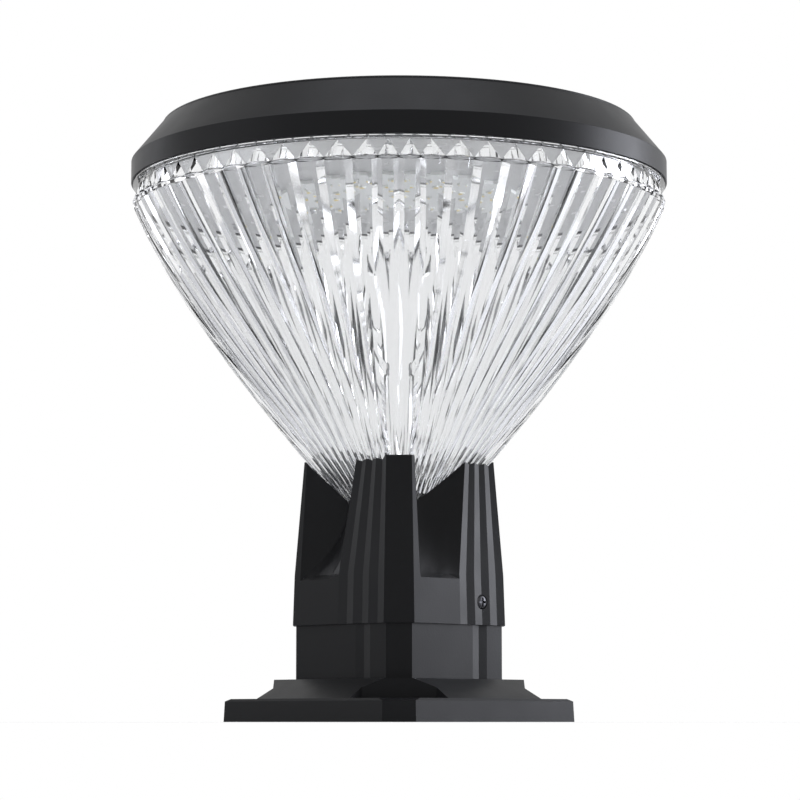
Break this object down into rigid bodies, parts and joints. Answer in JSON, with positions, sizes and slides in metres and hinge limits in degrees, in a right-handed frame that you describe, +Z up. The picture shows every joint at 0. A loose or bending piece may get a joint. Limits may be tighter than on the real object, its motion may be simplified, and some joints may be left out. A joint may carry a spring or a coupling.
{
  "type": "solar bollard light",
  "caption": "Solar bollard light: round solar cap over a clear fluted bowl held by four arms on a square bolted base, with a push switch.",
  "frame": {"origin": "centre of the underside of the base plate", "axes": "+Z up the light's axis; X and Y along the sides of the square base; the switch is on the -Y side of the cap"},
  "size_m": [0.25, 0.25, 0.2769],
  "materials": {
    "satin_black_plastic": "satin moulded plastic",
    "dark_screw": "blackened steel, semi-gloss",
    "black_rubber": "matt moulded rubber",
    "steel_screw": "zinc-plated steel",
    "clear_lens": "clear fluted plastic, polished",
    "grey_sealant": "cured sealant",
    "panel_glass": "flat clear glass",
    "cell_silicon": "dark blue silicon with fine silver lines",
    "white_board": "white board",
    "white_plastic": "white moulded plastic",
    "led_phosphor": "yellow phosphor",
    "inner_black_plastic": "moulded plastic",
    "battery_wrap": "shrink wrap",
    "green_board": "green coated board",
    "switch_metal": "turned steel",
    "button_metal": "turned steel",
    "black_lead": "insulated wire",
    "red_lead": "insulated wire",
    "white_lead": "insulated wire"
  },
  "bodies": {
    "lamp": {"mounting_base": "satin_black_plastic", "housing": "satin_black_plastic", "housing_screws": "dark_screw", "foot_pad": "black_rubber", "foot_screws": "steel_screw", "lens": "clear_lens", "lens_seal": "grey_sealant", "cap_shell": "satin_black_plastic", "solar_glass": "panel_glass", "solar_cells": "cell_silicon", "panel_backboard": "white_board", "panel_seal": "black_rubber", "lamp_tray": "white_plastic", "tray_screws": "steel_screw", "led_board": "white_board", "leds": "led_phosphor", "led_board_screws": "steel_screw", "battery_holder": "inner_black_plastic", "battery_cells": "battery_wrap", "battery_strap": "white_plastic", "strap_screws": "steel_screw", "control_board": "green_board", "board_parts": "inner_black_plastic", "board_screws": "steel_screw", "switch_body": "switch_metal", "switch_seal": "black_rubber", "switch_nut": "switch_metal", "panel_lead": "black_lead", "battery_lead": "red_lead", "led_lead": "white_lead", "switch_lead": "black_lead"},
    "button": {"switch_button": "button_metal"}
  },
  "joints": [
    {"name": "button_press", "type": "slide", "parent": "lamp", "child": "button", "axis": [0, 0, -1], "range_m": [0, 0.001], "stiffness_N_per_m": 1500}
  ]
}
